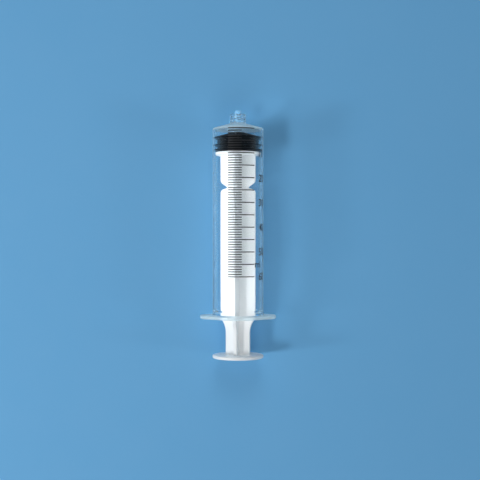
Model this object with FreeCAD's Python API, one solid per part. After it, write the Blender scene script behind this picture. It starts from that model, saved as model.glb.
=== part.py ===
# A 60 ml luer lock syringe, lying on the flat side of its finger flange.
# Three mouldings make it: a clear barrel with flange, nozzle and locking collar in one,
# a black rubber stopper with three sealing ribs, and a white plunger rod that snaps into
# the stopper and turns there. A black scale is printed on the barrel.
# Millimetres, +Z up. The syringe's axis runs along Y with the nozzle at +Y.
import FreeCAD, Part
import math
import os

# Driving dimensions. While a piece is modelled, the barrel's open end is at y = 0.

# Barrel tube. Its bore is as long as the scale's volume needs, plus an unmarked stretch.
SCALE_VOLUME = 60  # millilitres
BORE_DIAMETER = 29.1
BARREL_WALL = 1.2
UNMARKED_LENGTH = 26.5  # from the open end to the last mark
LEAD_IN_WIDTH = 0.4
LEAD_IN_DEPTH = 1.2
BEAD_HEIGHT = 0.35  # ring inside the open end that keeps the stopper in
BEAD_CREST = 1.0
BEAD_FLANK = 1.0
BEAD_FROM_END = 4.0
EDGE_ROUND = 0.2

# Conical end, locking collar and nozzle
END_SLOPE = 16.0  # degrees
END_WALL = 1.5  # along the axis
SHOULDER_ROUND = 1.0
COLLAR_BORE = 8.1  # diameter at the root of the thread
COLLAR_WALL = 0.95
COLLAR_ROOT_ROUND = 0.6
COLLAR_EDGE_ROUND = 0.3
NOZZLE_TIP_DIAMETER = 3.97
NOZZLE_LENGTH = 7.7
LUER_TAPER = 0.06  # diameter over length
TIP_BEYOND_COLLAR = 2.2
LUMEN_DIAMETER = 2.2

# Finger flange: a round middle with two flats, and a wing on each side
FLANGE_THICKNESS = 2.4
FLANGE_BORDER = 1.75  # beyond the barrel, all round
FLANGE_FLAT_BORDER = 0.55  # beyond the barrel, at the flats
FLANGE_WING = 7.75  # beyond the barrel, at the wing tips
FLANGE_TIP_RADIUS = 8.0
FLANGE_RIM_ROUND = 0.8
FLANGE_ROOT_ROUND = 0.4

# Stopper
SEAL_CLEARANCE = 0.05  # radial, rib to bore
RIB_CENTRES = (0.6, 5.1, 8.1)  # behind the stopper's sealing edge
RIB_CREST = 0.7
RIB_FOOT = 1.7
RIB_ROUND = 0.25
GROOVE_DEPTH = 1.6
STOPPER_HEEL = 0.25  # from the last rib's foot to the back face
STOPPER_NOSE_RADIUS = 4.0
STOPPER_NOSE_ROUND = 0.8
SOCKET_LIP = 2.2
SOCKET_WALL = 3.55  # between the socket and the bottom of the grooves

# Plunger rod
SNAP_CLEARANCE = 0.15
SNAP_STEP = 2.8  # how far the head stands out from its neck
SNAP_HEAD_RIM = 2.2
SNAP_HEAD_CONE = 3.2
SNAP_HEAD_NARROWING = 4.7
DISC_CLEARANCE = 0.2  # radial, front disc to bead
FRONT_DISC_THICKNESS = 1.8
DISC_EDGE_ROUND = 0.4
BLADE_THICKNESS = 2.0
BLADE_CLEARANCE = 3.55  # radial, blade to bore
BLADE_FOOT_ROUND = 1.0
TAIL_STEP = 3.4  # how far the tail's edge lies inside the blade's
TAIL_LENGTH = 13.7  # straight part, ahead of the thumb disc
TAIL_CURVE = 13.0
NOTCH_BEHIND_DISC = 20.2
NOTCH_DEPTH = 4.75
NOTCH_FRONT_SLOPE = 36.0  # degrees from square to the axis
NOTCH_BACK_SLOPE = 18.0
NOTCH_FRONT_ROUND = 3.0
NOTCH_BACK_ROUND = 2.5
NOTCH_ROOT_ROUND = 0.4
THUMB_RADIUS = 15.8
THUMB_THICKNESS = 2.0
THUMB_EDGE_ROUND = 0.7
THUMB_STAND_OFF = 17.85  # from the flange to the thumb disc with the plunger pushed in

# How the plunger lies
DRAWN_BACK = 4.4  # from the zero line to the stopper's sealing edge
ROD_TURN = -14.0  # degrees from a blade that faces up, positive towards +X

# Printed scale, one mark a millilitre
LONG_MARK_EVERY = 5
MARK_WIDTH = 0.6
MARK_START = -22.5  # degrees from the line that faces up, positive towards +X
SHORT_MARK_END = 8.4
LONG_MARK_END = 39.2
INK = 0.04

# Worked out from the driving dimensions
AXIS = FreeCAD.Vector(0, 1, 0)
CENTRE = FreeCAD.Vector(0, 0, 0)
END_RISE = math.tan(math.radians(END_SLOPE))
bore_radius = BORE_DIAMETER / 2
barrel_radius = bore_radius + BARREL_WALL
mark_spacing = 1000 / (math.pi * bore_radius ** 2)  # one millilitre of bore
bore_length = SCALE_VOLUME * mark_spacing + UNMARKED_LENGTH
lumen_radius = LUMEN_DIAMETER / 2
collar_bore_radius = COLLAR_BORE / 2
collar_radius = collar_bore_radius + COLLAR_WALL
bead_radius = bore_radius - BEAD_HEIGHT
flange_flat = barrel_radius + FLANGE_FLAT_BORDER
seal_radius = bore_radius - SEAL_CLEARANCE
groove_radius = seal_radius - GROOVE_DEPTH
socket_radius = groove_radius - SOCKET_WALL
snap_head_radius = socket_radius - SNAP_CLEARANCE
snap_neck_radius = snap_head_radius - SNAP_STEP
snap_tip_radius = snap_head_radius - SNAP_HEAD_NARROWING
front_disc_radius = bead_radius - DISC_CLEARANCE
blade_radius = bore_radius - BLADE_CLEARANCE
tail_radius = blade_radius - TAIL_STEP
seal_y = bore_length - DRAWN_BACK
stopper_back_y = seal_y - RIB_CENTRES[-1] - RIB_FOOT / 2 - STOPPER_HEEL
lip_y = stopper_back_y + SOCKET_LIP
front_disc_y = stopper_back_y - SNAP_CLEARANCE
blade_front_y = front_disc_y - FRONT_DISC_THICKNESS
thumb_y = -THUMB_STAND_OFF - DRAWN_BACK
thumb_back_y = thumb_y - THUMB_THICKNESS


def inner_end(radius):
    """How far along the axis the bore's end cone lies at a radius."""
    return bore_length + (bore_radius - radius) * END_RISE


def outer_end(radius):
    """How far along the axis the outside of the barrel's end lies at a radius."""
    return inner_end(radius) + END_WALL


collar_floor_y = outer_end(collar_bore_radius)
tip_y = collar_floor_y + NOZZLE_LENGTH
collar_y = tip_y - TIP_BEYOND_COLLAR
nozzle_tip_radius = NOZZLE_TIP_DIAMETER / 2
nozzle_base_radius = nozzle_tip_radius + LUER_TAPER / 2 * NOZZLE_LENGTH


def rounded_outline(corners):
    """Closed wire in the XY plane through (x, y, rounding) corners, with arcs at the rounded ones.

    Two rounded neighbours share the straight between them, so a rounding is limited by its wall.
    """
    points = [FreeCAD.Vector(x, y, 0) for x, y, rounding in corners]
    arcs = []
    for i, (x, y, rounding) in enumerate(corners):
        following = (i + 1) % len(corners)
        before = points[i - 1] - points[i]
        after = points[following] - points[i]
        room_before = before.Length * (0.48 if corners[i - 1][2] > 0 else 0.98)
        room_after = after.Length * (0.48 if corners[following][2] > 0 else 0.98)
        before.normalize()
        after.normalize()
        half_angle = before.getAngle(after) / 2
        radius = min(rounding, min(room_before, room_after) * math.tan(half_angle))
        reach = radius / math.tan(half_angle)
        start = points[i] + before * reach
        end = points[i] + after * reach
        middle = points[i]
        if radius > 0:
            inward = (before + after).normalize()
            middle = points[i] + inward * (radius / math.sin(half_angle) - radius)
        arcs.append((start, middle, end, radius > 0))
    edges = []
    for i, (start, middle, end, is_round) in enumerate(arcs):
        if is_round:
            edges.append(Part.Arc(start, middle, end).toShape())
        edges.append(Part.LineSegment(end, arcs[(i + 1) % len(arcs)][0]).toShape())
    return Part.Wire(edges)


def turned(corners):
    """Solid of revolution about the syringe's axis, from a (radius, y, rounding) outline."""
    return Part.Face(rounded_outline(corners)).revolve(CENTRE, AXIS, 360)


def flange_outline():
    """Round middle cut by two flats, joined to a round tip on each side by straight tangents."""
    middle_radius = barrel_radius + FLANGE_BORDER
    tip_centre = barrel_radius + FLANGE_WING - FLANGE_TIP_RADIUS
    tangent_angle = math.acos((middle_radius - FLANGE_TIP_RADIUS) / tip_centre)
    flat_angle = math.asin(flange_flat / middle_radius)

    def on_middle(angle):
        return middle_radius * math.cos(angle), middle_radius * math.sin(angle)

    tip_x = tip_centre + FLANGE_TIP_RADIUS * math.cos(tangent_angle)
    tip_z = FLANGE_TIP_RADIUS * math.sin(tangent_angle)
    flat_end = on_middle(flat_angle)
    bulge = on_middle((tangent_angle + flat_angle) / 2)
    tangent_end = on_middle(tangent_angle)

    def at(place, side, up):
        return FreeCAD.Vector(side * place[0], 0, up * place[1])

    edges = []
    for side in (1, -1):
        outermost = FreeCAD.Vector(side * (tip_centre + FLANGE_TIP_RADIUS), 0, 0)
        tip_ends = [at((tip_x, tip_z), side, up) for up in (1, -1)]
        edges.append(Part.Arc(tip_ends[0], outermost, tip_ends[1]).toShape())
        for up, tip_end in zip((1, -1), tip_ends):
            edges.append(Part.LineSegment(tip_end, at(tangent_end, side, up)).toShape())
            bend = Part.Arc(at(tangent_end, side, up), at(bulge, side, up), at(flat_end, side, up))
            edges.append(bend.toShape())
    for up in (1, -1):
        edges.append(Part.LineSegment(at(flat_end, 1, up), at(flat_end, -1, up)).toShape())
    return Part.Wire(Part.sortEdges(edges)[0])


def make_flange():
    """Plate with a rounded rim, and a hole that ends in the middle of the barrel's wall."""
    plate = Part.Face(flange_outline()).extrude(AXIS * FLANGE_THICKNESS)
    rim = [edge for edge in plate.Edges if edge.BoundBox.YLength < FLANGE_THICKNESS / 2]
    plate = plate.makeFillet(FLANGE_RIM_ROUND, rim)
    hole = Part.makeCylinder(bore_radius + BARREL_WALL / 2, FLANGE_THICKNESS, CENTRE, AXIS)
    return plate.cut(hole)


def make_barrel():
    """Tube, conical end, collar, nozzle and bead turned as one form, with the flange round its open end."""
    half_crest = BEAD_CREST / 2
    bead_foot = half_crest + BEAD_FLANK
    root_radius = barrel_radius + FLANGE_ROOT_ROUND
    tube = turned([
        (bore_radius + LEAD_IN_WIDTH, 0, EDGE_ROUND),
        (barrel_radius, 0, EDGE_ROUND),
        (barrel_radius, FLANGE_THICKNESS / 2, 0),
        (root_radius, FLANGE_THICKNESS / 2, 0),
        (root_radius, FLANGE_THICKNESS, 0),
        (barrel_radius, FLANGE_THICKNESS, FLANGE_ROOT_ROUND),
        (barrel_radius, outer_end(barrel_radius), SHOULDER_ROUND),
        (collar_radius, outer_end(collar_radius), COLLAR_ROOT_ROUND),
        (collar_radius, collar_y, COLLAR_EDGE_ROUND),
        (collar_bore_radius, collar_y, COLLAR_EDGE_ROUND),
        (collar_bore_radius, collar_floor_y, COLLAR_EDGE_ROUND),
        (nozzle_base_radius, collar_floor_y, COLLAR_EDGE_ROUND),
        (nozzle_tip_radius, tip_y, COLLAR_EDGE_ROUND),
        (lumen_radius, tip_y, EDGE_ROUND),
        (lumen_radius, inner_end(lumen_radius), EDGE_ROUND),
        (bore_radius, bore_length, EDGE_ROUND),
        (bore_radius, BEAD_FROM_END + bead_foot, BEAD_FLANK / 2),
        (bead_radius, BEAD_FROM_END + half_crest, BEAD_FLANK / 2),
        (bead_radius, BEAD_FROM_END - half_crest, BEAD_FLANK / 2),
        (bore_radius, BEAD_FROM_END - bead_foot, BEAD_FLANK / 2),
        (bore_radius, LEAD_IN_DEPTH, EDGE_ROUND),
    ])
    return tube.fuse(make_flange()).removeSplitter().Solids[0]


def make_stopper():
    """Cone and three ribs outside, and inside the socket for the rod's snap head."""
    nose_y = seal_y + (seal_radius - STOPPER_NOSE_RADIUS) * END_RISE
    corners = [
        (0, nose_y, 0),
        (STOPPER_NOSE_RADIUS, nose_y, STOPPER_NOSE_ROUND),
        (seal_radius, seal_y, RIB_ROUND),
    ]
    for centre in RIB_CENTRES:
        rib_y = seal_y - centre
        if centre != RIB_CENTRES[0]:
            corners.append((groove_radius, rib_y + RIB_FOOT / 2, RIB_ROUND))
            corners.append((seal_radius, rib_y + RIB_CREST / 2, RIB_ROUND))
        corners.append((seal_radius, rib_y - RIB_CREST / 2, RIB_ROUND))
        corners.append((groove_radius, rib_y - RIB_FOOT / 2, RIB_ROUND))
    rim_y = lip_y + SNAP_HEAD_RIM + 2 * SNAP_CLEARANCE
    socket_end_y = rim_y + SNAP_HEAD_CONE
    corners += [
        (groove_radius, stopper_back_y, RIB_ROUND),
        (snap_neck_radius + SNAP_CLEARANCE, stopper_back_y, RIB_ROUND),
        (snap_neck_radius + SNAP_CLEARANCE, lip_y, RIB_ROUND),
        (socket_radius, lip_y, RIB_ROUND),
        (socket_radius, rim_y, RIB_ROUND),
        (snap_tip_radius + SNAP_CLEARANCE, socket_end_y, RIB_ROUND),
        (0, socket_end_y, 0),
    ]
    return turned(corners)


def blade_length_outline():
    """Half of a blade from the front disc to its waist, with the notch that lets the rod be snapped."""
    notch_y = blade_front_y - NOTCH_BEHIND_DISC
    notch_front_y = notch_y + NOTCH_DEPTH * math.tan(math.radians(NOTCH_FRONT_SLOPE))
    notch_back_y = notch_y - NOTCH_DEPTH * math.tan(math.radians(NOTCH_BACK_SLOPE))
    in_disc_y = blade_front_y + FRONT_DISC_THICKNESS / 2
    return rounded_outline([
        (0, in_disc_y, 0),
        (blade_radius + BLADE_FOOT_ROUND, in_disc_y, 0),
        (blade_radius + BLADE_FOOT_ROUND, blade_front_y, 0),
        (blade_radius, blade_front_y, BLADE_FOOT_ROUND),
        (blade_radius, notch_front_y, NOTCH_FRONT_ROUND),
        (blade_radius - NOTCH_DEPTH, notch_y, NOTCH_ROOT_ROUND),
        (blade_radius, notch_back_y, NOTCH_BACK_ROUND),
        (blade_radius, waist_y(TAIL_STEP), 0),
        (0, waist_y(TAIL_STEP), 0),
    ])


def waist_y(step_out):
    """How far along the axis the waist's curve has left the tail's edge by step_out."""
    return thumb_y + TAIL_LENGTH + math.sqrt(TAIL_CURVE ** 2 - (TAIL_CURVE - step_out) ** 2)


def waist_outline():
    """Half of a blade where it narrows to the tail, on an arc that the tail's edge touches."""
    blade_corner = FreeCAD.Vector(blade_radius, waist_y(TAIL_STEP), 0)
    on_curve = FreeCAD.Vector(tail_radius + TAIL_STEP / 4, waist_y(TAIL_STEP / 4), 0)
    tail_corner = FreeCAD.Vector(tail_radius, waist_y(0), 0)
    tail_middle = FreeCAD.Vector(0, waist_y(0), 0)
    blade_middle = FreeCAD.Vector(0, waist_y(TAIL_STEP), 0)
    return Part.Wire([
        Part.Arc(blade_corner, on_curve, tail_corner).toShape(),
        Part.LineSegment(tail_corner, tail_middle).toShape(),
        Part.LineSegment(tail_middle, blade_middle).toShape(),
        Part.LineSegment(blade_middle, blade_corner).toShape(),
    ])


def tail_outline():
    """Half of a blade from its waist to the thumb disc."""
    in_disc_y = thumb_y - THUMB_THICKNESS / 2
    return rounded_outline([
        (0, waist_y(0), 0),
        (tail_radius, waist_y(0), 0),
        (tail_radius, thumb_y, BLADE_FOOT_ROUND),
        (tail_radius + BLADE_FOOT_ROUND, thumb_y, 0),
        (tail_radius + BLADE_FOOT_ROUND, in_disc_y, 0),
        (0, in_disc_y, 0),
    ])


def make_half_blade(turn):
    """One of the cross's four flat arms, at an angle about the axis."""
    outlines = [blade_length_outline(), waist_outline(), tail_outline()]
    lengths = [Part.Face(o).extrude(FreeCAD.Vector(0, 0, BLADE_THICKNESS)) for o in outlines]
    half = lengths[0].fuse(lengths[1:])
    half.translate(FreeCAD.Vector(0, 0, -BLADE_THICKNESS / 2))
    half.rotate(CENTRE, AXIS, turn)
    return half


def make_plunger_rod():
    """Snap head, front disc, cross of four arms and thumb disc."""
    head_y = lip_y + SNAP_CLEARANCE
    rim_y = head_y + SNAP_HEAD_RIM
    head = turned([
        (0, blade_front_y, 0),
        (front_disc_radius, blade_front_y, DISC_EDGE_ROUND),
        (front_disc_radius, front_disc_y, DISC_EDGE_ROUND),
        (snap_neck_radius, front_disc_y, 0),
        (snap_neck_radius, head_y, 0),
        (snap_head_radius, head_y, DISC_EDGE_ROUND),
        (snap_head_radius, rim_y, DISC_EDGE_ROUND),
        (snap_tip_radius, rim_y + SNAP_HEAD_CONE, DISC_EDGE_ROUND),
        (0, rim_y + SNAP_HEAD_CONE, 0),
    ])
    thumb_disc = turned([
        (0, thumb_back_y, 0),
        (THUMB_RADIUS, thumb_back_y, THUMB_EDGE_ROUND),
        (THUMB_RADIUS, thumb_y, THUMB_EDGE_ROUND),
        (0, thumb_y, 0),
    ])
    arms = [make_half_blade(quarter * 90) for quarter in range(4)]
    rod = head.fuse([thumb_disc] + arms).removeSplitter().Solids[0]
    rod.rotate(CENTRE, AXIS, ROD_TURN)
    return rod


def make_mark(volume):
    """A thin band of ink on the barrel, from MARK_START round to a short or a long end."""
    mark_end = LONG_MARK_END if volume % LONG_MARK_EVERY == 0 else SHORT_MARK_END
    y = bore_length - volume * mark_spacing
    corner = FreeCAD.Vector(barrel_radius, y - MARK_WIDTH / 2, 0)
    section = Part.makePlane(INK, MARK_WIDTH, corner, FreeCAD.Vector(0, 0, 1))
    mark = section.revolve(CENTRE, AXIS, mark_end - MARK_START)
    mark.rotate(CENTRE, AXIS, MARK_START - 90)
    return mark


def make_scale():
    return Part.makeCompound([make_mark(volume) for volume in range(SCALE_VOLUME + 1)])


def rest_offset():
    """Moves the middle of the whole length to y = 0 and the lowest edge to z = 0."""
    return FreeCAD.Vector(0, -(tip_y + thumb_back_y) / 2, max(flange_flat, THUMB_RADIUS))


nodes = {
    "barrel": make_barrel(),
    "printed_scale": make_scale(),
    "stopper": make_stopper(),
    "plunger_rod": make_plunger_rod(),
}
os.makedirs("parts", exist_ok=True)
for name, shape in nodes.items():
    shape.translate(rest_offset())
    shape.exportStep(os.path.join("parts", name + ".step"))
    print(name, "solids", len(shape.Solids), "valid", shape.isValid(), "mm3", round(shape.Volume, 1))
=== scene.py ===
# %% [markdown]
# # A 60 ml luer lock syringe, lying on a blue table
# The shapes of this syringe come from its CAD model, which is loaded here as a fixed frame. Nothing of
# that frame is moved. Blender adds what makes it look real: a finer barrel that light can pass through,
# the thread inside its locking collar, the line where the rubber meets the wall, the numbers of the
# scale, and the finish of each material.

# %% Load the frame
import math

import bmesh
import bpy
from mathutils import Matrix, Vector


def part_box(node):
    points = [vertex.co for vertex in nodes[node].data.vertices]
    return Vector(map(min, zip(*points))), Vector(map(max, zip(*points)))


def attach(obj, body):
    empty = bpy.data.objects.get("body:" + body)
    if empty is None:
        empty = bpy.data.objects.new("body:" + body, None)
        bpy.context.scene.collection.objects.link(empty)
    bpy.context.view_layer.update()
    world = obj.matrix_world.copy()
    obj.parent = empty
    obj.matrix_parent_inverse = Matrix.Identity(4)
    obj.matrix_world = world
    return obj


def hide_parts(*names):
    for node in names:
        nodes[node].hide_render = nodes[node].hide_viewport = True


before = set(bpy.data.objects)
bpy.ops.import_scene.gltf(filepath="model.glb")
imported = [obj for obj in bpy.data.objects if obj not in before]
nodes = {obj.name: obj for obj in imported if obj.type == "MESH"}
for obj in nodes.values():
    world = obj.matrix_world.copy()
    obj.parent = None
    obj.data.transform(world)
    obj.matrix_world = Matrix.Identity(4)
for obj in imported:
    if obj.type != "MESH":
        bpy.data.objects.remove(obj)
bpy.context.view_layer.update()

MM = 0.001
print("CAD nodes:", sorted(nodes))

# %% [markdown]
# ## The camera
# The photograph looks straight down on the syringe from about 60 cm, with the nozzle towards the top.
# A camera that isn't rotated already looks down its own -Z with +Y up, so only its place is set. The
# focal length is the one at which the syringe fills the picture as it does in the photograph.

# %% Camera straight above
LENS = 71.3
SENSOR_WIDTH = 36
CAMERA_ACROSS = 1.24
CAMERA_ALONG = -3.54
CAMERA_HEIGHT = 606.3


def put_in_scene(name, data):
    """An object that shows a mesh, a camera or a lamp, linked to the scene."""
    thing = bpy.data.objects.new(name, data)
    bpy.context.scene.collection.objects.link(thing)
    return thing


camera_lens = bpy.data.cameras.new("overhead_camera")
camera_lens.sensor_width = SENSOR_WIDTH
camera_lens.lens = LENS
camera_lens.clip_start = 0.01
camera_lens.clip_end = 50
camera = put_in_scene("overhead_camera", camera_lens)
camera.location = (CAMERA_ACROSS * MM, CAMERA_ALONG * MM, CAMERA_HEIGHT * MM)
bpy.context.scene.camera = camera
print("camera height, mm:", CAMERA_HEIGHT, "lens, mm:", LENS)

# %% [markdown]
# ## Where the barrel lies
# The barrel's box gives two things that all its details hang on: the height of its axis above the
# table, and where its open end is. Every detail below is then given as in a turner's drawing, as a
# radius from the axis and a distance from the open end, in millimetres.

# %% Axis and open end
barrel_low, barrel_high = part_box("barrel")
axis_height = (barrel_low.z + barrel_high.z) / 2 / MM
open_end = barrel_low.y / MM


def around(radius, along, angle):
    """Place, in metres, at a radius and an angle (from +X up to +Z) round the syringe's axis."""
    x = radius * math.cos(angle)
    z = axis_height + radius * math.sin(angle)
    return Vector((x, open_end + along, z)) * MM


print("axis height, mm:", round(axis_height, 3), "open end at y, mm:", round(open_end, 3))

# %% [markdown]
# ## Rounded corners
# A moulded barrel is a turned shape: one closed outline, spun round the axis. The outline is written as
# corners with a rounding each, because that is how a mould is drawn, and a small function turns each
# rounding into a few points on an arc. Even an edge that looks sharp gets one, since plastic never
# comes out of a mould with a razor edge, and the round edge is what catches the light. A rounding that
# is too large for its corner is held back to a little under half of the shorter side.

# %% Rounded outline
ROUNDING_STEPS = 5
SHARE_OF_SIDE = 0.48


def rounded(corners):
    """Points along a closed outline of (radius, along, rounding) corners."""
    points = []
    for i, (radius, along, rounding) in enumerate(corners):
        corner = Vector((radius, along))
        back = Vector(corners[i - 1][:2]) - corner
        ahead = Vector(corners[(i + 1) % len(corners)][:2]) - corner
        half_angle = back.angle(ahead) / 2
        longest_reach = SHARE_OF_SIDE * min(back.length, ahead.length)
        reach = min(rounding / math.tan(half_angle), longest_reach)
        start = corner + back.normalized() * reach
        end = corner + ahead.normalized() * reach
        bisector = (back.normalized() + ahead.normalized()).normalized()
        centre = corner + bisector * (reach / math.cos(half_angle))
        sweep = math.pi - 2 * half_angle
        for step in range(ROUNDING_STEPS + 1):
            part = step / ROUNDING_STEPS
            share_start = math.sin((1 - part) * sweep) / math.sin(sweep)
            share_end = math.sin(part * sweep) / math.sin(sweep)
            points.append(centre + (start - centre) * share_start + (end - centre) * share_end)
    return points


print("each corner becomes", ROUNDING_STEPS + 1, "points")

# %% [markdown]
# ## Sizes of the barrel
# The bore sets the scale: a millilitre on it is as long as one millilitre of liquid in the bore. The
# scale ends at 60 ml, a thumb's width in front of the flange. Towards the nozzle the bore closes in a
# shallow cone, which follows the cone of the stopper, so that hardly any liquid stays behind. The nozzle
# itself narrows by 6 parts in 100, as every luer nozzle does.

# %% Sizes of the barrel
BORE = 14.55
TUBE = 15.75
ONE_MILLILITRE = 1000 / (math.pi * BORE ** 2)
FULL_SCALE = 60
LAST_MARK = 26.5
BORE_END = FULL_SCALE * ONE_MILLILITRE + LAST_MARK
END_RISE = math.tan(math.radians(16))
END_WALL = 1.5
COLLAR_BORE = 4.05
COLLAR = 5.0
LUMEN = 1.1
NOZZLE_TIP = 1.985
NOZZLE_FOOT = 2.216
NOZZLE_LENGTH = 7.7
NOZZLE_PAST_COLLAR = 2.2


def end_inside(radius):
    """Where the cone that closes the bore is, at a radius."""
    return BORE_END + (BORE - radius) * END_RISE


def end_outside(radius):
    """Where the outside of that cone is, at a radius."""
    return end_inside(radius) + END_WALL


collar_floor = end_outside(COLLAR_BORE)
nozzle_tip = collar_floor + NOZZLE_LENGTH
collar_rim = nozzle_tip - NOZZLE_PAST_COLLAR
print("one millilitre, mm:", round(ONE_MILLILITRE, 3), "nozzle tip at, mm:", round(nozzle_tip, 2))

# %% [markdown]
# ## The outline of the barrel
# The outline runs from the open end over the flange, up the outside, over the shallow cone, round the
# locking collar and the nozzle, through the lumen, and back down the bore past the bead that keeps the
# stopper in. It is written in four stretches, and each corner is a radius, a distance and a rounding.
# The flange isn't round, so here it only gets a stand-in radius, far out, which is replaced below.

# %% Barrel corners
FLANGE_THICKNESS = 2.4
FLANGE_STAND_IN = 40.0
BEAD = BORE - 0.35
MOUTH = BORE + 0.4
flange_corners = [
    (MOUTH, 0, 0.2),
    (FLANGE_STAND_IN, 0, 0.8),
    (FLANGE_STAND_IN, FLANGE_THICKNESS, 0.8),
    (TUBE, FLANGE_THICKNESS, 0.4),
]
collar_corners = [
    (TUBE, end_outside(TUBE), 1.0),
    (COLLAR, end_outside(COLLAR), 0.6),
    (COLLAR, collar_rim, 0.3),
    (COLLAR_BORE, collar_rim, 0.3),
    (COLLAR_BORE, collar_floor, 0.3),
]
nozzle_corners = [
    (NOZZLE_FOOT, collar_floor, 0.3),
    (NOZZLE_TIP, nozzle_tip, 0.3),
    (LUMEN, nozzle_tip, 0.2),
    (LUMEN, end_inside(LUMEN), 0.2),
]
bore_corners = [
    (BORE, BORE_END, 0.2),
    (BORE, 5.5, 0.5),
    (BEAD, 4.5, 0.5),
    (BEAD, 3.5, 0.5),
    (BORE, 2.5, 0.5),
    (BORE, 1.2, 0.2),
]
barrel_outline = rounded(flange_corners + collar_corners + nozzle_corners + bore_corners)
print("outline points:", len(barrel_outline))

# %% [markdown]
# ## The finger flange
# Seen from its end, the flange is a round plate with two flats, drawn out into a rounded wing on each
# side. The flats stop the syringe from rolling. Its outline is one function of the angle: a small
# circle at the tip, a straight tangent, a large circle, and the flat.

# %% Flange radius at an angle
FLANGE_MIDDLE = 17.5
FLANGE_FLAT = 16.3
WING_CENTRE = 15.5
WING_RADIUS = 8.0
tangent_turn = math.acos((FLANGE_MIDDLE - WING_RADIUS) / WING_CENTRE)
wing_ends = math.atan2(
    WING_RADIUS * math.sin(tangent_turn),
    WING_CENTRE + WING_RADIUS * math.cos(tangent_turn),
)
flat_starts = math.asin(FLANGE_FLAT / FLANGE_MIDDLE)


def flange_radius(angle):
    """How far the flange reaches from the axis in the direction of an angle."""
    quarter = math.atan2(abs(math.sin(angle)), abs(math.cos(angle)))
    if quarter < wing_ends:
        across = WING_CENTRE * math.sin(quarter)
        return WING_CENTRE * math.cos(quarter) + math.sqrt(WING_RADIUS ** 2 - across ** 2)
    if quarter < tangent_turn:
        return FLANGE_MIDDLE / math.cos(quarter - tangent_turn)
    if quarter < flat_starts:
        return FLANGE_MIDDLE
    return FLANGE_FLAT / math.sin(quarter)


print("flange reaches, mm:", flange_radius(0), "and at its flats:", flange_radius(math.pi / 2))

# %% [markdown]
# ## The thread in the locking collar
# A luer lock needle has two small ears that run in a thread inside the collar. The thread has two
# starts and climbs 5 mm in a turn, so half a turn locks it. It could be a separate helix, but in clear
# plastic the seam between two pieces would show. Here the wall of the collar itself is pushed inwards
# along two helices, so that the barrel stays one moulding. At both ends of the collar the thread fades
# out over a short way.

# %% Thread depth
THREAD_LEAD = 5.0
THREAD_STARTS = 2
THREAD_HEIGHT = 0.5
RIDGE_FOOT = 0.75
RIDGE_FLANK = 0.45
THREAD_MARGIN = 0.35
THREAD_FADE = 0.4


def held_to_one(value):
    """The value, but no less than 0 and no more than 1."""
    return min(1.0, max(0.0, value))


def thread_depth(along, angle):
    """How far the collar's wall stands inwards at a place on it."""
    turns = THREAD_STARTS * (along / THREAD_LEAD - angle / (2 * math.pi))
    from_crest = abs(turns - round(turns)) * THREAD_LEAD / THREAD_STARTS
    ridge = held_to_one((RIDGE_FOOT - from_crest) / RIDGE_FLANK)
    fade_in = held_to_one((collar_rim - THREAD_MARGIN - along) / THREAD_FADE)
    fade_out = held_to_one((along - collar_floor - THREAD_MARGIN) / THREAD_FADE)
    return THREAD_HEIGHT * ridge * min(fade_in, fade_out)


print("the collar is", round(collar_rim - collar_floor, 2), "mm deep")

# %% [markdown]
# ## Rings along the outline
# Each point of the outline will become a ring. A helix can't be drawn with the two rings that a plain
# wall needs, so the inside of the collar is divided into 56 rows of faces. Each ring asks for its own
# radius at each angle, which is how the flange, the thread and the round tube fit in one clean grid.

# %% Rings and their radius
THREAD_ROWS = 56
SAME_RADIUS = 0.01
FLANGE_RINGS_FROM = FLANGE_STAND_IN - 5
FLANGE_FILLET = 0.4
barrel_rings = []
for here, following in zip(barrel_outline, barrel_outline[1:] + barrel_outline[:1]):
    barrel_rings.append((here.x, here.y))
    starts_in_collar = abs(here.x - COLLAR_BORE) < SAME_RADIUS
    ends_in_collar = abs(following.x - COLLAR_BORE) < SAME_RADIUS
    if starts_in_collar and ends_in_collar:
        for row in range(1, THREAD_ROWS):
            share = row / THREAD_ROWS
            barrel_rings.append((COLLAR_BORE, here.y + (following.y - here.y) * share))


def ring_radius(radius, along, angle):
    """Radius of one ring of the barrel at an angle, with the flange and the thread put in."""
    if radius > FLANGE_RINGS_FROM:
        root = TUBE if along < FLANGE_THICKNESS / 2 else TUBE + FLANGE_FILLET
        return max(flange_radius(angle) + radius - FLANGE_STAND_IN, root)
    if radius == COLLAR_BORE:
        return radius - thread_depth(along, angle)
    return radius


print("barrel rings:", len(barrel_rings))

# %% [markdown]
# ## A mesh from rings
# Blender could spin an outline with its Screw modifier, but that makes every ring round. So the faces
# are built here: each ring is joined to the next one, and the last to the first, which closes the
# solid. The normals are then turned outwards together. A ring has 288 steps, because a coarser barrel
# would show flat facets in the refraction, where every bend of the surface counts.

# %% Mesh of closed rings
STEPS_ROUND = 288
ANGLES = [2 * math.pi * step / STEPS_ROUND for step in range(STEPS_ROUND)]


def turned_mesh(name, solids):
    """A mesh of turned solids. Each is a list of rings, and each ring is a list of places."""
    places = []
    faces = []
    for rings in solids:
        first = len(places)
        for i, ring in enumerate(rings):
            places.extend(ring)
            this_ring = first + i * STEPS_ROUND
            next_ring = first + (i + 1) % len(rings) * STEPS_ROUND
            for step in range(STEPS_ROUND):
                beside = (step + 1) % STEPS_ROUND
                faces.append((this_ring + step, this_ring + beside, next_ring + beside, next_ring + step))
    mesh = bpy.data.meshes.new(name)
    mesh.from_pydata(places, [], faces)
    work = bmesh.new()
    work.from_mesh(mesh)
    bmesh.ops.recalc_face_normals(work, faces=work.faces)
    work.to_mesh(mesh)
    work.free()
    return mesh


print("steps round a ring:", len(ANGLES))

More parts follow.
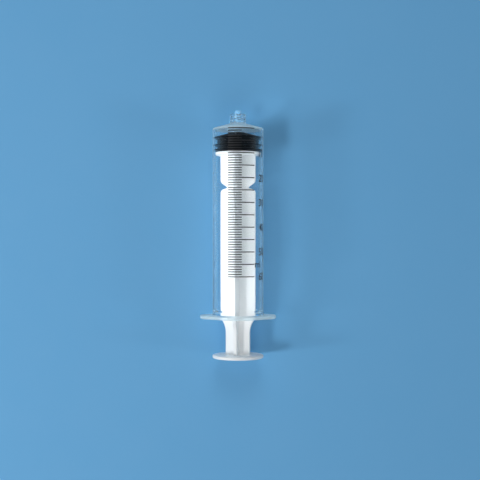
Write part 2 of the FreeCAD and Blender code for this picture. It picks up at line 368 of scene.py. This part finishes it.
# %% [markdown]
# ## The clear barrel
# The barrel is one moulding, so it is one mesh. It takes the place of the CAD barrel in the picture and
# stays on the same body. Smooth shading hides the steps, and every edge that turns by more than 32
# degrees stays sharp.

# %% Clear barrel
SHARP_FROM = math.radians(32)
barrel_places = [
    [around(ring_radius(radius, along, angle), along, angle) for angle in ANGLES]
    for radius, along in barrel_rings
]
barrel_mesh = turned_mesh("clear_barrel", [barrel_places])
barrel_mesh.shade_smooth()
barrel_mesh.set_sharp_from_angle(angle=SHARP_FROM)
clear_barrel = put_in_scene("clear_barrel", barrel_mesh)
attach(clear_barrel, "barrel")
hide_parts("barrel")
print("barrel faces:", len(barrel_mesh.polygons))

# %% [markdown]
# ## Where the rubber touches the wall
# The stopper seals on three ribs. There the oiled rubber wets the plastic, no air is left between them,
# and the black is seen right out to the edge of the tube, where everywhere else the wall mirrors the
# room. Three thin bands, pressed a few hundredths of a millimetre into the wall, show that contact. They
# ride on the stopper and move with it.

# %% Sealing bands
RIB_PLACES = (0.6, 5.1, 8.1)
SEALING_LENGTH = 9.2
HALF_BAND = 0.3
BAND_INSIDE = BORE - 0.15
BAND_OUTSIDE = BORE + 0.03
stopper_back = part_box("stopper")[0].y / MM - open_end
sealing_edge = stopper_back + SEALING_LENGTH
band_corners = (
    (BAND_INSIDE, -HALF_BAND),
    (BAND_OUTSIDE, -HALF_BAND),
    (BAND_OUTSIDE, HALF_BAND),
    (BAND_INSIDE, HALF_BAND),
)
bands = []
for rib in RIB_PLACES:
    middle = sealing_edge - rib
    bands.append([
        [around(radius, middle + offset, angle) for angle in ANGLES]
        for radius, offset in band_corners
    ])
sealing_bands = put_in_scene("sealing_bands", turned_mesh("sealing_bands", bands))
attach(sealing_bands, "stopper")
print("sealing bands at, mm:", [round(sealing_edge - rib + open_end, 2) for rib in RIB_PLACES])

# %% [markdown]
# ## Flat lettering
# The scale is printed on the barrel in one pass of a curved pad, so the figures follow the tube. They
# start as flat lettering from Blender's own font, a touch bolder than it comes. A text object can only
# be bent once it is a mesh, so it is turned into one, and the text object goes again.

# %% Flat word
BOLDER = 0.01


def flat_word(words):
    """A bmesh of one word, lying flat."""
    lettering = bpy.data.curves.new("lettering", "FONT")
    lettering.body = words
    lettering.offset = BOLDER
    holder = put_in_scene("lettering", lettering)
    flat = bpy.data.meshes.new_from_object(holder)
    bpy.data.objects.remove(holder)
    bpy.data.curves.remove(lettering)
    word = bmesh.new()
    word.from_mesh(flat)
    bpy.data.meshes.remove(flat)
    return word


print("lettering is made bolder by", BOLDER)

# %% [markdown]
# ## Lettering in strips
# A flat face can't follow a round tube, so each word is cut into narrow strips after it is scaled.
# Before that, it is moved so that it starts at zero and has its middle on the line.

# %% Scale and cut a word
STRIP = 0.3


def scale_and_cut(word, height):
    """Scales a flat word to a height in millimetres and cuts it into strips."""
    lowest = min(v.co.y for v in word.verts)
    highest = max(v.co.y for v in word.verts)
    left = min(v.co.x for v in word.verts)
    size = height / (highest - lowest)
    for v in word.verts:
        v.co = Vector(((v.co.x - left) * size, (v.co.y - (lowest + highest) / 2) * size, 0))
    width = max(v.co.x for v in word.verts)
    for cut in range(1, int(width / STRIP) + 1):
        everything = word.verts[:] + word.edges[:] + word.faces[:]
        bmesh.ops.bisect_plane(word, geom=everything, plane_co=(cut * STRIP, 0, 0), plane_no=(1, 0, 0))


print("lettering is cut every", STRIP, "mm")

# %% [markdown]
# ## Ink round the tube
# Ink has a thickness, if only a few hundredths of a millimetre. The strips are raised by it first, and
# then each point's distance from the start of the word becomes an angle round the tube. Blender's
# Curve modifier could do this too, but here the radius is known, and one line of arithmetic is exact.

# %% Wrap a word in ink
INK = 0.04


def wrap_in_ink(word, start_turn, along):
    """Raises a flat word and wraps it round the tube, from an angle off the top, towards +X."""
    raised = bmesh.ops.extrude_face_region(word, geom=word.faces[:], use_keep_orig=True)
    for item in raised["geom"]:
        if isinstance(item, bmesh.types.BMVert):
            item.co.z += INK
    for v in word.verts:
        turn = start_turn + v.co.x / TUBE
        v.co = around(TUBE + v.co.z, along + v.co.y, math.pi / 2 - turn)
    bmesh.ops.recalc_face_normals(word, faces=word.faces)


print("ink thickness, mm:", INK)

# %% [markdown]
# ## Numbers on the scale
# The figures stand at every tenth millilitre, upright when the nozzle points up, and run round the side
# of the barrel. The unit stands alone near the last long mark. All of them are one print, so they
# become one mesh.

# %% Figures and unit
FIGURE_HEIGHT = 4.65
FIGURE_TURN = math.radians(54)
UNIT_HEIGHT = 4.0
UNIT_TURN = math.radians(41)
UNIT_AT = 55
FIGURE_STEP = 10
words = []
for ml in range(FIGURE_STEP, FULL_SCALE + FIGURE_STEP, FIGURE_STEP):
    words.append((str(ml), FIGURE_HEIGHT, FIGURE_TURN, BORE_END - ml * ONE_MILLILITRE))
words.append(("ml", UNIT_HEIGHT, UNIT_TURN, BORE_END - UNIT_AT * ONE_MILLILITRE))
all_words = bmesh.new()
for text, height, turn, along in words:
    word = flat_word(text)
    scale_and_cut(word, height)
    wrap_in_ink(word, turn, along)
    pressed = bpy.data.meshes.new("pressed")
    word.to_mesh(pressed)
    word.free()
    all_words.from_mesh(pressed)
    bpy.data.meshes.remove(pressed)
figures_mesh = bpy.data.meshes.new("printed_figures")
all_words.to_mesh(figures_mesh)
all_words.free()
printed_figures = put_in_scene("printed_figures", figures_mesh)
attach(printed_figures, "barrel")
print("figure faces:", len(figures_mesh.polygons))

# %% [markdown]
# ## Surface grain, shared by all finishes
# No moulding is perfectly even. Its surface carries the faint cloudiness of the mould's polish, and fine
# scuffs from the bag it came in. Both are noise at two scales, and every material below needs them, so
# they are one node group with named inputs, built once. It puts out a cloud as a mask, a roughness and
# a height. First come its sockets.

# %% Sockets of the surface group
moulded_surface = bpy.data.node_groups.new("moulded_surface", "ShaderNodeTree")
surface_sockets = moulded_surface.interface
for socket_name, value in (
    ("Cloud Scale", 300.0),
    ("Scuff Scale", 1500.0),
    ("Least Roughness", 0.3),
    ("Most Roughness", 0.4),
):
    socket = surface_sockets.new_socket(socket_name, in_out="INPUT", socket_type="NodeSocketFloat")
    socket.default_value = value
for socket_name in ("Cloud", "Roughness", "Height"):
    surface_sockets.new_socket(socket_name, in_out="OUTPUT", socket_type="NodeSocketFloat")
print("group sockets:", [item.name for item in surface_sockets.items_tree])

# %% [markdown]
# ## Inside the surface group
# The cloud is a broad noise, and the scuffs are a finer one with more detail. Both follow the object's
# own coordinates, so they stay on a piece that moves. The scuffs are spread out over the range between
# the least and the most roughness. The height is the cloud with a quarter of the scuffs on top.

# %% Noise in the surface group
SCUFF_LOW = 0.3
SCUFF_HIGH = 0.7
SCUFF_SHARE = 0.25
group_in = moulded_surface.nodes.new("NodeGroupInput")
group_out = moulded_surface.nodes.new("NodeGroupOutput")
place = moulded_surface.nodes.new("ShaderNodeTexCoord")
cloud = moulded_surface.nodes.new("ShaderNodeTexNoise")
cloud.inputs["Detail"].default_value = 3
scuff = moulded_surface.nodes.new("ShaderNodeTexNoise")
scuff.inputs["Detail"].default_value = 5
spread = moulded_surface.nodes.new("ShaderNodeMapRange")
spread.inputs["From Min"].default_value = SCUFF_LOW
spread.inputs["From Max"].default_value = SCUFF_HIGH
height = moulded_surface.nodes.new("ShaderNodeMath")
height.operation = "MULTIPLY_ADD"
height.inputs[1].default_value = SCUFF_SHARE
link = moulded_surface.links.new
link(place.outputs["Object"], cloud.inputs["Vector"])
link(place.outputs["Object"], scuff.inputs["Vector"])
link(group_in.outputs["Cloud Scale"], cloud.inputs["Scale"])
link(group_in.outputs["Scuff Scale"], scuff.inputs["Scale"])
link(cloud.outputs["Fac"], group_out.inputs["Cloud"])
link(scuff.outputs["Fac"], spread.inputs["Value"])
link(group_in.outputs["Least Roughness"], spread.inputs["To Min"])
link(group_in.outputs["Most Roughness"], spread.inputs["To Max"])
link(spread.outputs["Result"], group_out.inputs["Roughness"])
link(scuff.outputs["Fac"], height.inputs[0])
link(cloud.outputs["Fac"], height.inputs[2])
link(height.outputs["Value"], group_out.inputs["Height"])
print("nodes in the group:", len(moulded_surface.nodes))

# %% [markdown]
# ## A helper that starts a material
# Every finish starts in the same way: a Principled shader, the surface group for its roughness, a bump
# for its height, and two close shades of the plastic's own colour that the cloud mixes. Where the least
# and the most roughness are the same, it is one number, and that goes on the shader itself. What else
# makes each plastic different is then set there too.

# %% Start a finish
SCUFFS_PER_CLOUD = 6
BUMP_STRENGTH = 0.4


def start_finish(name, shade, second_shade, least_rough, most_rough, cloud_scale, bump_distance):
    """A material with the shared surface in it, and its shader. bump_distance is in millimetres."""
    material = bpy.data.materials.new(name)
    material.use_nodes = True
    tree = material.node_tree
    shader = tree.nodes["Principled BSDF"]
    surface = tree.nodes.new("ShaderNodeGroup")
    surface.node_tree = moulded_surface
    surface.inputs["Cloud Scale"].default_value = cloud_scale
    surface.inputs["Scuff Scale"].default_value = cloud_scale * SCUFFS_PER_CLOUD
    surface.inputs["Least Roughness"].default_value = least_rough
    surface.inputs["Most Roughness"].default_value = most_rough
    shades = tree.nodes.new("ShaderNodeMix")
    shades.data_type = "RGBA"
    shades.inputs["A"].default_value = (*shade, 1)
    shades.inputs["B"].default_value = (*second_shade, 1)
    bump = tree.nodes.new("ShaderNodeBump")
    bump.inputs["Strength"].default_value = BUMP_STRENGTH
    bump.inputs["Distance"].default_value = bump_distance * MM
    tree.links.new(surface.outputs["Cloud"], shades.inputs["Factor"])
    tree.links.new(shades.outputs["Result"], shader.inputs["Base Color"])
    if least_rough == most_rough:
        shader.inputs["Roughness"].default_value = least_rough
    else:
        tree.links.new(surface.outputs["Roughness"], shader.inputs["Roughness"])
    tree.links.new(surface.outputs["Height"], bump.inputs["Height"])
    tree.links.new(bump.outputs["Normal"], shader.inputs["Normal"])
    return material, shader


print("scuffs are", SCUFFS_PER_CLOUD, "times as fine as the cloud")

# %% [markdown]
# ## Light that reaches the inside
# Light that is on its way from a lamp has to reach the rod inside the barrel, and Cycles finds that hard
# through a bending surface. So for shadow rays alone, a plastic is a plain transparent film that keeps
# back a share at each face. The camera still sees the plastic bend and mirror. What a face lets through
# is less for a frosted plastic than for the clear one, and least for the white rod.

# %% Let light in
CLEAR_LETS_IN = 0.9
FROSTED_LETS_IN = 0.8
WHITE_LETS_IN = 0.45


def let_light_in(material, shader, share):
    """Lets a share of the lamps' light through each face of the plastic, to what is behind it."""
    tree = material.node_tree
    see_through = tree.nodes.new("ShaderNodeBsdfTransparent")
    see_through.inputs["Color"].default_value = (share, share, share, 1)
    ray_kind = tree.nodes.new("ShaderNodeLightPath")
    choose = tree.nodes.new("ShaderNodeMixShader")
    tree.links.new(ray_kind.outputs["Is Shadow Ray"], choose.inputs["Fac"])
    tree.links.new(shader.outputs["BSDF"], choose.inputs[1])
    tree.links.new(see_through.outputs["BSDF"], choose.inputs[2])
    tree.links.new(choose.outputs["Shader"], tree.nodes["Material Output"].inputs["Surface"])


print("light through both faces of the clear wall:", round(CLEAR_LETS_IN ** 2, 2))

# %% [markdown]
# ## Clear polypropylene
# The barrel bends light like glass, with a little less gloss. Each face keeps back a tenth of the lamps'
# light, for what a real face mirrors and scatters away.
#
# Polypropylene is never quite clear: tiny crystals scatter light on its way through. The more plastic
# the light crosses, the more is scattered, so the tube is clear face on and pale at its edges. Sheen
# does the same: it is a soft light that a surface gives back only where it is seen at a flat angle.

# %% Clear plastic
POLYPROPYLENE_IOR = 1.49
clear_plastic, clear_shader = start_finish(
    "clear_polypropylene",
    shade=(0.97, 0.99, 1.0),
    second_shade=(0.94, 0.975, 1.0),
    least_rough=0.02,
    most_rough=0.06,
    cloud_scale=90,
    bump_distance=0.004,
)
clear_shader.inputs["Transmission Weight"].default_value = 1
clear_shader.inputs["IOR"].default_value = POLYPROPYLENE_IOR
clear_shader.inputs["Sheen Weight"].default_value = 0.9
clear_shader.inputs["Sheen Roughness"].default_value = 0.38
clear_shader.inputs["Sheen Tint"].default_value = (0.65, 0.88, 1.0, 1)
let_light_in(clear_plastic, clear_shader, CLEAR_LETS_IN)
clear_barrel.data.materials.append(clear_plastic)
print(clear_plastic.name, "on", clear_barrel.name)

# %% [markdown]
# ## The milky thick parts
# The flange and the shoulder are thick, and their moulds aren't polished as the tube's is. They look
# frosted: a good part of the light comes back from them as from white plastic, and the rest goes
# through, blurred. The nozzle is frosted too, but thinner and so clearer. A frosted face blurs evenly
# what is seen through it, so its roughness is one number.

# %% Milky plastic
milky_plastic, milky_shader = start_finish(
    "frosted_polypropylene",
    shade=(0.74, 0.92, 1.0),
    second_shade=(0.80, 0.95, 1.0),
    least_rough=0.33,
    most_rough=0.33,
    cloud_scale=120,
    bump_distance=0.002,
)
milky_shader.inputs["Transmission Weight"].default_value = 0.55
thin_plastic, thin_shader = start_finish(
    "thin_frosted_polypropylene",
    shade=(0.44, 0.76, 0.97),
    second_shade=(0.50, 0.80, 1.0),
    least_rough=0.14,
    most_rough=0.14,
    cloud_scale=120,
    bump_distance=0.001,
)
thin_shader.inputs["Transmission Weight"].default_value = 0.66
for frosted, frosted_shader in ((milky_plastic, milky_shader), (thin_plastic, thin_shader)):
    frosted_shader.inputs["IOR"].default_value = POLYPROPYLENE_IOR
    let_light_in(frosted, frosted_shader, FROSTED_LETS_IN)
    clear_barrel.data.materials.append(frosted)
print("finishes on the barrel:", [finish.name for finish in clear_barrel.data.materials])

# %% [markdown]
# ## Which face wears which plastic
# The frosted places are faces of the same mesh as the clear tube. Cutting the barrel up would leave
# seams inside the plastic, so it stays whole and each face is told by its distance from the axis and
# from the open end which of the three plastics it wears.

# %% Faces of the barrel
CLEAR = 0
MILKY = 1
THIN = 2
MOUTH_FACE = 0.6
SHOULDER_FROM = end_outside(TUBE) - 1.2
OFF_TUBE = TUBE + 0.05
OFF_COLLAR = COLLAR + 0.5
OFF_NOZZLE = NOZZLE_FOOT + 0.1


def plastic_of(from_axis, along):
    """Which of the barrel's three plastics a face wears."""
    if from_axis > OFF_TUBE or along < MOUTH_FACE:
        return MILKY
    if along > SHOULDER_FROM and from_axis > OFF_COLLAR:
        return MILKY
    if along > collar_floor and from_axis < OFF_NOZZLE:
        return THIN
    return CLEAR


for face in clear_barrel.data.polygons:
    from_axis = math.hypot(face.center.x / MM, face.center.z / MM - axis_height)
    face.material_index = plastic_of(from_axis, face.center.y / MM - open_end)
print("frosted faces:", sum(face.material_index > 0 for face in clear_barrel.data.polygons))

# %% [markdown]
# ## The white rod
# The rod is a milky plastic: light goes a little way in before it comes out, which softens its edges,
# so it gets subsurface scattering. Its blades are thin, and about a fifth of a lamp's light comes out
# behind them, which keeps the shadows pale. The rod's shape is the CAD model's own, so a small helper
# only paints it, and later the other pieces too.

# %% White plastic
white_plastic, white_shader = start_finish(
    "milky_polypropylene",
    shade=(0.87, 0.90, 0.91),
    second_shade=(0.92, 0.94, 0.945),
    least_rough=0.3,
    most_rough=0.42,
    cloud_scale=60,
    bump_distance=0.02,
)
white_shader.inputs["Subsurface Weight"].default_value = 1.0
white_shader.inputs["Subsurface Radius"].default_value = (1.0, 1.0, 1.0)
white_shader.inputs["Subsurface Scale"].default_value = 1.2 * MM
let_light_in(white_plastic, white_shader, WHITE_LETS_IN)


def paint(piece, material):
    """Gives the whole piece one material."""
    piece.data.materials.clear()
    piece.data.materials.append(material)
    print(material.name, "on", piece.name)


paint(nodes["plunger_rod"], white_plastic)

# %% [markdown]
# ## Black rubber and black ink
# The stopper is a dense, dull rubber that mirrors next to nothing. The ink is thin and nearly matt. Its
# two shades lie further apart and its cloud is finer, because printing ink never covers quite evenly.

# %% Rubber and ink
black_rubber, rubber_shader = start_finish(
    "stopper_rubber",
    shade=(0.001, 0.002, 0.004),
    second_shade=(0.002, 0.004, 0.007),
    least_rough=0.5,
    most_rough=0.65,
    cloud_scale=200,
    bump_distance=0.02,
)
rubber_shader.inputs["Specular IOR Level"].default_value = 0.06
black_ink, _ = start_finish(
    "printing_ink",
    shade=(0.006, 0.006, 0.008),
    second_shade=(0.016, 0.017, 0.02),
    least_rough=0.4,
    most_rough=0.6,
    cloud_scale=900,
    bump_distance=0.006,
)
paint(nodes["stopper"], black_rubber)
paint(sealing_bands, black_rubber)
paint(nodes["printed_scale"], black_ink)
paint(printed_figures, black_ink)

# %% [markdown]
# ## The table
# The syringe lies on a sheet of plain blue paper. The barrel is clear, so the colour of the sheet is part
# of how it looks. The paper gets the same kind of finish as the plastics, only broader and quite matt.

# %% Floor
REACH = 3.0
floor_corners = [(-REACH, -REACH, 0), (REACH, -REACH, 0), (REACH, REACH, 0), (-REACH, REACH, 0)]
floor_mesh = bpy.data.meshes.new("floor")
floor_mesh.from_pydata(floor_corners, [], [(0, 1, 2, 3)])
floor = put_in_scene("floor", floor_mesh)
blue_paper, _ = start_finish(
    "blue_paper",
    shade=(0.135, 0.41, 0.72),
    second_shade=(0.15, 0.43, 0.74),
    least_rough=0.8,
    most_rough=0.9,
    cloud_scale=8,
    bump_distance=0.02,
)
paint(floor, blue_paper)

# %% [markdown]
# ## The room
# Clear plastic shows whatever is round it. The room is pale and bluish low down, where the paper goes
# on, and dark overhead, where the camera hangs: that is why the stopper stays black behind the plastic.
# A gradient over the height of the direction gives both.

# %% World
LOW_LIGHT = (0.28, 0.38, 0.46, 1)
HALFWAY_LIGHT = (0.14, 0.17, 0.2, 1)
OVERHEAD_LIGHT = (0.012, 0.014, 0.016, 1)
room = bpy.data.worlds.new("studio_room")
bpy.context.scene.world = room
room.use_nodes = True
room_tree = room.node_tree
backdrop = room_tree.nodes["Background"]
direction = room_tree.nodes.new("ShaderNodeTexCoord")
split = room_tree.nodes.new("ShaderNodeSeparateXYZ")
by_height = room_tree.nodes.new("ShaderNodeValToRGB")
low, overhead = by_height.color_ramp.elements
low.position = 0.0
low.color = LOW_LIGHT
overhead.position = 0.6
overhead.color = OVERHEAD_LIGHT
halfway = by_height.color_ramp.elements.new(0.3)
halfway.color = HALFWAY_LIGHT
room_tree.links.new(direction.outputs["Generated"], split.inputs["Vector"])
room_tree.links.new(split.outputs["Z"], by_height.inputs["Fac"])
room_tree.links.new(by_height.outputs["Color"], backdrop.inputs["Color"])
print("room light, low to high:", [round(e.color[1], 2) for e in by_height.color_ramp.elements])

# %% [markdown]
# ## A soft lamp
# A lamp's power is worked out from the share of the full light that it gives the table. If all shares and
# the room added up to one, the table would come out of the render in the colour that is written for it.
# Here they add up to a little over three quarters, because the blades of the white rod face some of the
# lamps and get more light than the table does.
#
# The shadow rays already bring the lamps' light straight through the plastic. A second share of it would
# come in along bent rays, so the lamps are hidden from those, and the rod gets the light just once.

# %% Soft lamp


def soft_lamp(name, turn, elevation, distance, width, share):
    """A round lamp aimed at the syringe. turn is from -X towards -Y, in degrees."""
    rise = math.radians(elevation)
    turned = math.radians(turn)
    flat_distance = distance * math.cos(rise)
    place = Vector((
        -flat_distance * math.cos(turned),
        -flat_distance * math.sin(turned),
        distance * math.sin(rise),
    ))
    lamp = bpy.data.lights.new(name, "AREA")
    lamp.shape = "DISK"
    lamp.size = width
    lamp.energy = share * math.pi ** 2 * distance ** 2 / math.sin(rise)
    holder = put_in_scene(name, lamp)
    holder.location = place
    holder.rotation_euler = (-place).to_track_quat("-Z", "Y").to_euler()
    holder.visible_transmission = False
    print(name, "watts:", round(lamp.energy, 2))


print("full light from 1 m overhead, watts:", round(math.pi ** 2, 2))

# %% [markdown]
# ## Where the lamps stand
# A soft lamp stands on each side, low down, and one hangs high on the left: that one draws the grey
# strip along the rod, where one blade shades the next. Two large ones, beyond the ends of the syringe,
# fill in. There the round barrel can't mirror them to the camera, so the stopper stays black.

# %% Lamps
soft_lamp("left_lamp", turn=13, elevation=26, distance=1.2, width=0.15, share=0.1)
soft_lamp("right_lamp", turn=167, elevation=22, distance=1.2, width=0.15, share=0.05)
soft_lamp("high_lamp", turn=20, elevation=50.2, distance=1.0, width=0.17, share=0.255)
soft_lamp("nozzle_end_fill", turn=-90, elevation=48, distance=1.1, width=0.6, share=0.19)
soft_lamp("thumb_end_fill", turn=90, elevation=48, distance=1.1, width=0.6, share=0.12)

# %% [markdown]
# ## The colour view
# The Standard view shows colours as they are.

# %% Standard view
bpy.context.scene.view_settings.view_transform = "Standard"
